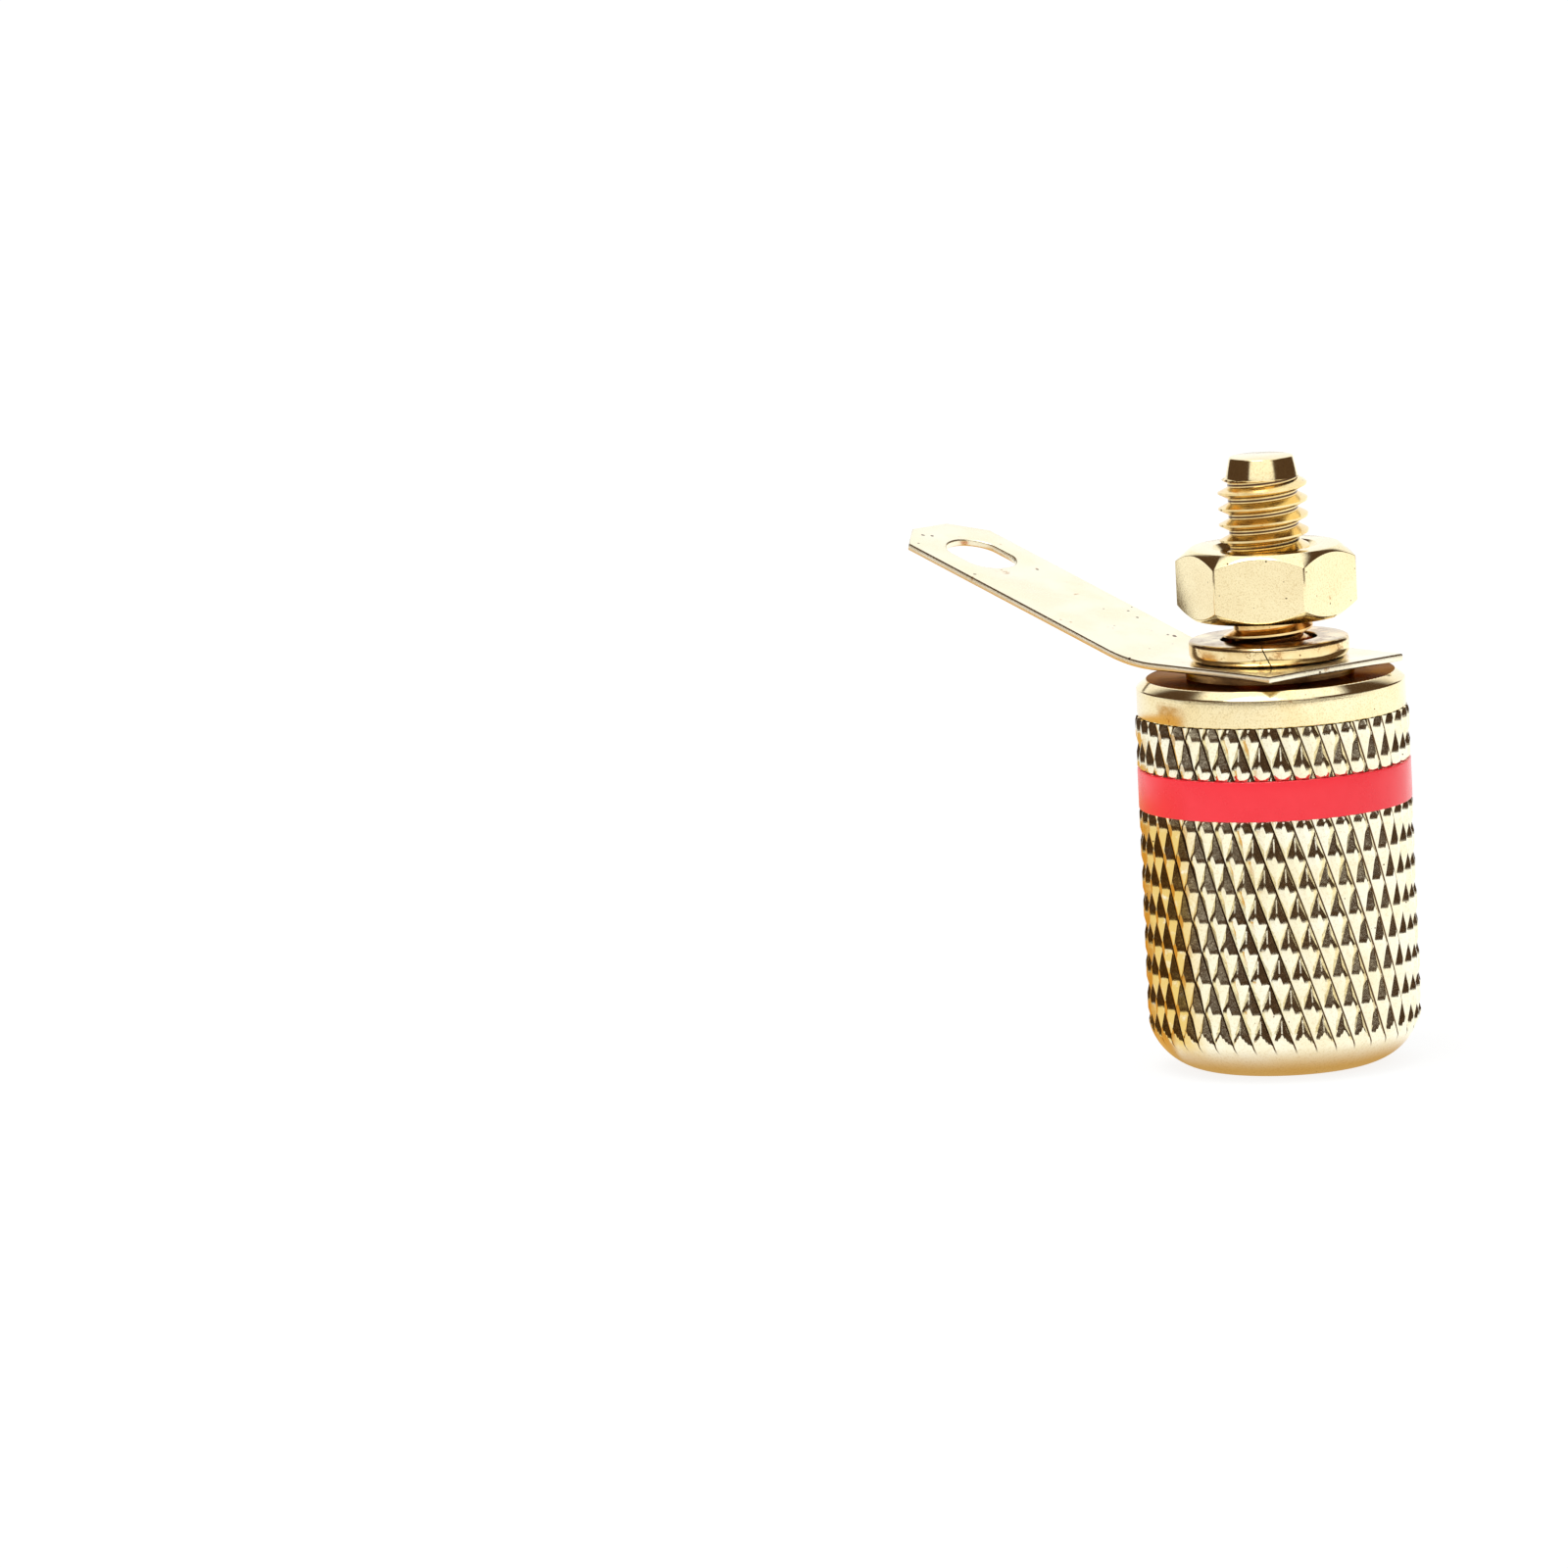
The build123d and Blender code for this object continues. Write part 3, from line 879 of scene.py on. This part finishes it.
# %% [markdown]
# The sweep starts its columns at the knurl's own angle, so that they meet the grooves. The cap's
# brass is the palest, with painted shade in the grooves and on the faces of the diamonds that look up,
# and with a painted golden reflection down one side.

# %% Thumb cap
knurl_lead = 2 * knurl_row
knurl_start = knurl_first_row + knurl_lead * knurl_turn * knurl_count / (2 * math.pi)
cap_mesh = swept("cap", cap_section, MESH_PER_DIAMOND * knurl_count,
                 lambda radius, height, angle: knurled(radius, height, angle + knurl_turn))
cap_mesh.transform(Matrix.Rotation(knurl_turn, 4, "Z"))
# Painted shade in the grooves and on upward faces, and a painted golden reflection down one side.
cap_brass = plated_brass("cap_brass", (0.09, 0.16), pale=(0.96, 0.925, 0.74, 1.0),
                         deep=(0.95, 0.87, 0.61, 1.0), lathe_depth=0.0004 * MM, grain_depth=0.0024 * MM,
                         grains_per_mm=9.0, spot_threshold=0.70, mottle=0.22, upward_shade_strength=0.35,
                         lines={"starts": knurl_count, "lead_mm": knurl_lead, "height_mm": knurl_start,
                                "half_width": 0.055, "from_mm": 1.2},
                         side_reflection={"low_mm": 0.6, "high_mm": 12.0})
finished("thumb_cap_knurled", cap_mesh, "cap", "thumb_cap", cap_brass)

# %% [markdown]
# ## Colour ring
# A plain ring of red plastic sits flush in its groove. Its four edges are rounded, as a moulding's
# are, and they give the thin lines of light that part it from the metal.

# %% Colour ring
ring_bore = 5.25
ring_section = rounded([(ring_bore, ring_bottom), (cap_radius, ring_bottom),
                        (cap_radius, ring_top), (ring_bore, ring_top)], 0.05, cuts=4)
finished("colour_ring_red", swept("ring", ring_section, 192), "band", "colour_ring",
         ring_plastic)

# %% [markdown]
# ## Terminal body
# One piece from the socket to the stud. The threads are real helical grooves here. The tube's thread
# carries the cap and shows when the cap is unscrewed; the stud's is an M4 thread of 0.7 mm pitch. A
# thread climbs as it goes round, so each column of the mesh is lifted with it by less than one row,
# and the crest never has to jump between rows.

# %% Threads
THREAD_ROWS = 16
stud_pitch, tube_pitch = 0.7, 0.75
stud_crest, tube_crest = 1.96, 2.85
stud_crest_height, tube_crest_height = 24.28, 8.0
stud_depth, tube_depth = 0.6134 * stud_pitch, 0.5 * tube_pitch
boss_top = span("solder_tag")[0] - 0.01
stud_tip = span("terminal_body")[1]
flange_bottom = cap_length + 0.02
tip_base = stud_tip - 0.9
stud_thread = (boss_top + 0.1, tip_base)
tube_thread = (2.1, flange_bottom - 1.0)
stud_run_out = 0.02
bore_radius = 2.0


def thread_cut(height, angle, pitch, crest_height, depth, ends, run_out=0.25):
    """Depth of a right-handed 60 degree thread, with flat crests and roots, that fades at both ends."""
    run_in, flat_share, flank_share = 0.3, 1 / 16, 5 / 16
    turn = (height - crest_height) / pitch - angle / (2 * math.pi)
    from_crest = np.abs(turn - np.round(turn))
    flank = np.clip((from_crest - flat_share) / flank_share, 0, 1)
    fade = np.clip((height - ends[0]) / run_in, 0, 1) * np.clip((ends[1] - height) / run_out, 0, 1)
    return depth * flank * fade


def threaded(radius, height, angle):
    """Cuts the stud's thread and the tube's thread into the turned section."""
    on_stud = (height > boss_top + 0.05) & (radius < stud_crest + 0.01)
    on_tube = (height < flange_bottom) & (np.abs(radius - tube_crest) < 0.01)
    stud_cut = thread_cut(height, angle, stud_pitch, stud_crest_height, stud_depth, stud_thread, stud_run_out)
    tube_cut = thread_cut(height, angle, tube_pitch, tube_crest_height, tube_depth, tube_thread)
    radius = np.where(on_stud, np.minimum(radius, stud_crest - stud_cut), radius)
    return np.where(on_tube, radius - tube_cut, radius)


def thread_lift(radius, height, angle):
    """Lifts each column with its thread, by less than one row."""
    lift = np.zeros_like(height)
    for ends, pitch in ((stud_thread, stud_pitch), (tube_thread, tube_pitch)):
        inside = (height >= ends[0]) & (height <= ends[1] - 1.2 * pitch / THREAD_ROWS) & (radius > 1.5)
        rising = np.mod(pitch * angle / (2 * math.pi) + 1e-9, pitch / THREAD_ROWS)
        lift = np.where(inside & (np.abs(radius - bore_radius) > 0.001), rising, lift)
    return lift


for part, ends, pitch in (("stud", stud_thread, stud_pitch), ("tube", tube_thread, tube_pitch)):
    print("thread of the", part + ":", round((ends[1] - ends[0]) / pitch, 1), "turns")

# %% [markdown]
# The section runs from the end of the bore, out of the socket's mouth, up the tube, over the flange
# with its broad bevel and the boss, and up the stud to its coned tip. A hole is drilled across the
# tube for a bare wire.

# %% Terminal body
body_columns = 128
bore_end, drill_end = 11.4, 12.6
mouth_depth, mouth_chamfer, mouth_rim = 1.5, 0.34, 2.65
tube_end_chamfer = 0.2
flange_radius, flange_height, bevel_width, bevel_height = 5.9, 1.6, 0.44, 0.35
flange_top = flange_bottom + flange_height
boss_radius = 3.7
tip_base_radius, tip_radius = 1.60, 1.40
stud_chamfer = 0.3
chamfer_slope = (stud_crest - tip_base_radius) / stud_chamfer
stud_rows = rows_between(*stud_thread, stud_crest_height, stud_pitch / THREAD_ROWS)
tube_rows = rows_between(*tube_thread, tube_crest_height, tube_pitch / THREAD_ROWS)


def stud_radius(height):
    """Radius of the stud before its thread is cut, with the chamfer under its tip."""
    return min(stud_crest, tip_base_radius + (tip_base - height) * chamfer_slope)


body_section = rounded([
    (0, drill_end),
    (bore_radius, bore_end, 0.02),
    (bore_radius, mouth_depth + mouth_chamfer, 0.05),
    (bore_radius + mouth_chamfer, mouth_depth, 0.04),
    (mouth_rim, mouth_depth, 0.04),
    (tube_crest, mouth_depth + tube_end_chamfer, 0.04),
    *[(tube_crest, height, 0) for height in tube_rows],
    (tube_crest, flange_bottom, 0.02),
    (flange_radius, flange_bottom, 0.12),
    (flange_radius, flange_top - bevel_height, 0.05),
    (flange_radius - bevel_width, flange_top, 0.06),
    (boss_radius, flange_top, 0.03),
    (boss_radius, boss_top, 0.05),
    (stud_crest, boss_top, 0.03),
    *[(stud_radius(height), height, 0) for height in stud_rows],
    (tip_base_radius, tip_base, 0),
    (tip_radius, stud_tip, 0.08),
    (0, stud_tip),
], 0.05, closed=False)
body_mesh = swept("body", body_section, body_columns, threaded, thread_lift, closed=False)

hole_radius, hole_reach, hole_from_flange = 1.0, 4.0, 1.8
wire_hole = swept("wire_hole", np.array([(0, -hole_reach), (hole_radius, -hole_reach),
                                         (hole_radius, hole_reach), (0, hole_reach)]), 48, closed=False)
wire_hole_place = Vector((0, 0, (flange_bottom - hole_from_flange) * MM))
wire_hole.transform(Matrix.Translation(wire_hole_place) @ Matrix.Rotation(math.pi / 2, 4, "X"))
terminal_body = finished("terminal_body_turned", reshaped(body_mesh, wire_hole), "terminal",
                         "terminal_body", body_brass)

# %% [markdown]
# The brass of this piece changes with its height. Under the tag it is painted brown as shade, in the neck
# between washer and nut it is a deeper gold as painted shade, and the free thread has a line of painted
# shade along its root.

# %% Brasses of the stud
# The stud's free thread gets a line of painted shade along its root.
stud_brass = plated_brass("stud_brass", (0.14, 0.24), pale=(0.95, 0.78, 0.41, 1.0),
                          deep=(0.88, 0.63, 0.26, 1.0), lathe_depth=0.0006 * MM,
                          grain_depth=0.0012 * MM, mottle=0.2,
                          lines={"starts": -1, "lead_mm": stud_pitch, "height_mm": stud_crest_height,
                                 "half_width": 0.085, "from_mm": boss_top})
# Painted shade: the neck between washer and nut gets a deeper, browner gold.
neck_painted_shade = plated_brass("neck_painted_shade", (0.12, 0.22), pale=(0.93, 0.68, 0.30, 1.0),
                          deep=(0.66, 0.37, 0.12, 1.0), grain_depth=0.0016 * MM, spot_threshold=0.58)
recess_bottom = flange_top - 0.02
neck_bottom = span("spring_washer")[1] - 0.05
neck_top = span("hex_nut")[0] + 0.2
for brass in (recess_painted_shade, neck_painted_shade, stud_brass):
    terminal_body.data.materials.append(brass)
for face in terminal_body.data.polygons:
    middle = face.center / MM
    inside = math.hypot(middle.x, middle.y) < flange_radius - bevel_width
    if inside and recess_bottom < middle.z < tip_base:
        face.material_index = 1 + (middle.z > neck_bottom) + (middle.z > neck_top)
print("neck from", round(neck_bottom, 2), "to", round(neck_top, 2), "mm")

# %% [markdown]
# ## Nut
# A hexagon nut is a slice of hexagon bar. Turning a cone on both ends cuts the six corners back, and
# where the cone meets the flats it leaves the curved edges that everyone knows. It is made the same
# way here: a bar with slightly rounded corners, kept where it lies inside a turned blank, its edges
# softened, and then its thread cut through.

# %% Outside of the nut
nut_bottom, nut_top = span("hex_nut")
nut_flats = 6.9
nut_turn = math.radians(-95.3)
nut_chamfer_radius = 3.275
nut_chamfer_slope = math.tan(math.radians(40))
nut_edge = 0.03 * MM
bar_spare = 0.5
corner_radius = nut_flats / 2 / math.cos(math.radians(30))
blank_radius = corner_radius + 0.2
chamfer_height = (blank_radius - nut_chamfer_radius) * nut_chamfer_slope


def hexagon_bar(name, bottom, top, corner_round=0.12, cuts=4):
    """Straight hexagon bar with rounded corners, in mm."""
    corner_centre = corner_radius - corner_round / math.cos(math.radians(30))
    outline = []
    for corner in range(6):
        middle = nut_turn + math.radians(30 + 60 * corner)
        centre = np.array([math.cos(middle), math.sin(middle)]) * corner_centre
        for cut in range(cuts + 1):
            turn = middle + math.radians(60 * (cut / cuts - 0.5))
            outline.append(centre + corner_round * np.array([math.cos(turn), math.sin(turn)]))
    count = len(outline)
    points = [(*point * MM, height * MM) for height in (bottom, top) for point in outline]
    sides = [(i, (i + 1) % count, count + (i + 1) % count, count + i) for i in range(count)]
    mesh = bpy.data.meshes.new(name)
    mesh.from_pydata(points, [], [tuple(reversed(range(count))), tuple(range(count, 2 * count)), *sides])
    return mesh


nut_blank = swept("nut_blank", np.array([
    (0, nut_bottom),
    (nut_chamfer_radius, nut_bottom),
    (blank_radius, nut_bottom + chamfer_height),
    (blank_radius, nut_top - chamfer_height),
    (nut_chamfer_radius, nut_top),
    (0, nut_top),
]), 180, closed=False)
nut_bar = hexagon_bar("nut_bar", nut_bottom - bar_spare, nut_top + bar_spare)
nut_outside = reshaped(nut_bar, nut_blank, "INTERSECT", bevel=nut_edge)
print("nut:", round(2 * corner_radius, 2), "mm over its corners,", round(nut_top - nut_bottom, 2), "mm high")

# %% Thread of the nut
nut_bore = 2.02
tap_depth, tap_cone, tap_spare, nut_countersink, thread_inset = 0.25, 0.5, 0.2, 0.25, 0.2
nut_thread = (nut_bottom + thread_inset, nut_top - thread_inset)
tap_low, tap_high = nut_bottom + nut_countersink, nut_top - nut_countersink
tap_rows = rows_between(*nut_thread, nut_bottom, stud_pitch / THREAD_ROWS)


def tapped(radius, height, angle):
    """Thread of the nut, cut outwards from its bore."""
    cut = thread_cut(height, angle, stud_pitch, nut_bottom, tap_depth, nut_thread)
    return np.where(np.abs(radius - nut_bore) < 0.01, radius + cut, radius)


tap = swept("tap", np.array([
    (0, nut_bottom - tap_spare),
    (nut_bore + tap_cone, nut_bottom - tap_spare),
    (nut_bore, tap_low),
    *[(nut_bore, height) for height in tap_rows if tap_low < height < tap_high],
    (nut_bore, tap_high),
    (nut_bore + tap_cone, nut_top + tap_spare),
    (0, nut_top + tap_spare),
]), 96, tapped, closed=False)
finished("hex_nut_m4", reshaped(nut_outside, tap), "nut", "hex_nut",
         nut_brass, even=True)

# %% [markdown]
# ## Split washer
# A spring washer is square wire wound once round and cut on a slant. This one is pressed flat, and
# its outer edges are round from the rolling of the wire, the lower one more than the upper. A ring
# comes from the sweep, and the slanted cut is a thin box taken out of it.

# %% Split washer
washer_bottom, washer_top = span("spring_washer")
washer_bore, washer_outside = 2.12, 3.52
washer_section = rounded([
    (washer_bore, washer_bottom, 0.06),
    (washer_outside, washer_bottom, 0.42),
    (washer_outside, washer_top, 0.18),
    (washer_bore, washer_top, 0.08),
], 0.1, cuts=7)
split_turn = math.radians(-92)
split_slant = math.radians(25)
saw_length, split_width, saw_height = 2.4, 0.05, 2.9
saw_size = Matrix.Diagonal((saw_length * MM, split_width * MM, saw_height * MM, 1))
saw = edited(bpy.data.meshes.new("saw"), lambda edit: bmesh.ops.create_cube(edit, size=1.0, matrix=saw_size))
saw_place = Vector(((washer_bore + washer_outside) / 2, 0, (washer_bottom + washer_top) / 2)) * MM
saw.transform(Matrix.Rotation(split_turn, 4, "Z") @ Matrix.Translation(saw_place)
              @ Matrix.Rotation(split_slant, 4, "X"))
washer_mesh = reshaped(swept("washer", washer_section, 144), saw)
finished("spring_washer_ring", washer_mesh, "terminal", "spring_washer", washer_brass)

# %% [markdown]
# ## Solder tag
# The tag is stamped from thin sheet and bent up once. Its outline, stud hole and slot are drawn as
# flat curves, which Blender fills and gives a thickness and a small edge radius. The flat plate is
# then sliced across where it bends, and each slice is turned round the bend's axis.

# %% Solder tag, flat
tag_bottom = span("solder_tag")[0]
tag_thickness = 0.33
eye_side, eye_back, eye_front, eye_shoulder = 3.95, 4.3, 3.3, 1.6
arm_width, arm_length = 4.8, 14.9
arm_inner_side = eye_side - arm_width
bend_radius = 10.5 + tag_thickness / 2
bend_angle = math.radians(16)
bend_length = bend_radius * bend_angle
arm_end = eye_front + bend_length + arm_length
tip_cut = 1.4
edge_radius = 0.08
slot_middle = arm_end - 3.6
slot_half_length, slot_half_width = 1.75, 1.25
stud_hole_radius = 2.15


def arc(centre, radius, first, last, cuts):
    """Points along an arc, in mm."""
    turns = np.radians(np.linspace(first, last, cuts + 1))
    return [(centre[0] + radius * math.cos(turn), centre[1] + radius * math.sin(turn)) for turn in turns]


slot_straight = slot_half_length - slot_half_width
arm_middle = (arm_inner_side + eye_side) / 2
plate_outline = [
    (-eye_back, eye_side), (-eye_back, -eye_side), (eye_front - eye_shoulder, -eye_side),
    (eye_front, arm_inner_side), (arm_end - tip_cut, arm_inner_side), (arm_end, arm_inner_side + tip_cut),
    (arm_end, eye_side - tip_cut), (arm_end - tip_cut, eye_side),
]
stud_hole = arc((0, 0), stud_hole_radius, 0, 355, 71)
slot_outline = (arc((slot_middle + slot_straight, arm_middle), slot_half_width, -90, 90, 24)
                + arc((slot_middle - slot_straight, arm_middle), slot_half_width, 90, 270, 24))

plate = bpy.data.curves.new("plate", "CURVE")
plate.dimensions = "2D"
plate.fill_mode = "BOTH"
plate.extrude = (tag_thickness / 2 - edge_radius) * MM
plate.bevel_depth = edge_radius * MM
plate.bevel_resolution = 3
plate.offset = -edge_radius * MM
for outline in (plate_outline, stud_hole, slot_outline):
    spline = plate.splines.new("POLY")
    spline.points.add(len(outline) - 1)
    spline.use_cyclic_u = True
    for point, (x, y) in zip(spline.points, outline):
        point.co = (x * MM, y * MM, 0, 1)
tag_mesh = evaluated(placed("plate", plate))
print("tag, cut flat:", round(eye_back + arm_end, 1), "by", 2 * eye_side, "mm")

# %% Solder tag, bent
bend_cuts = 20
tag_turn = math.radians(132)


def sliced(edit):
    """Slices the plate across its bend."""
    join_points(edit, 0.0005 * MM)
    for cut in range(bend_cuts + 1):
        where = (eye_front + bend_length * cut / bend_cuts) * MM
        bmesh.ops.bisect_plane(edit, geom=edit.verts[:] + edit.edges[:] + edit.faces[:],
                               plane_co=(where, 0, 0), plane_no=(1, 0, 0))


def bent(edit):
    """Turns what lies past the eye round the bend's axis, and lays the arm on from there."""
    for vertex in edit.verts:
        x, up = vertex.co.x / MM - eye_front, vertex.co.z / MM
        if x > 0:
            angle = min(x / bend_radius, bend_angle)
            straight = max(x - bend_length, 0)
            reach = (bend_radius - up) * math.sin(angle) + straight * math.cos(angle)
            climb = bend_radius - (bend_radius - up) * math.cos(angle) + straight * math.sin(angle)
            vertex.co.x = (eye_front + reach) * MM
            vertex.co.z = climb * MM


for change in (sliced, bent):
    edited(tag_mesh, change)
tag_mesh.transform(Matrix.Translation((0, 0, (tag_bottom + tag_thickness / 2) * MM))
                   @ Matrix.Rotation(tag_turn, 4, "Z"))
finished("solder_tag_bent", edited(tag_mesh, turn_out), "terminal", "solder_tag",
         tag_sheet)

# %% [markdown]
# ## Boxes
# The boxes of the CAD model and of the dressed model are printed side by side.

# %% Boxes and finish
model_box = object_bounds()
for name, box in (("CAD", cad_box), ("visual", model_box)):
    print(name, "box in mm:", [[round(value / MM, 2) for value in corner] for corner in box])
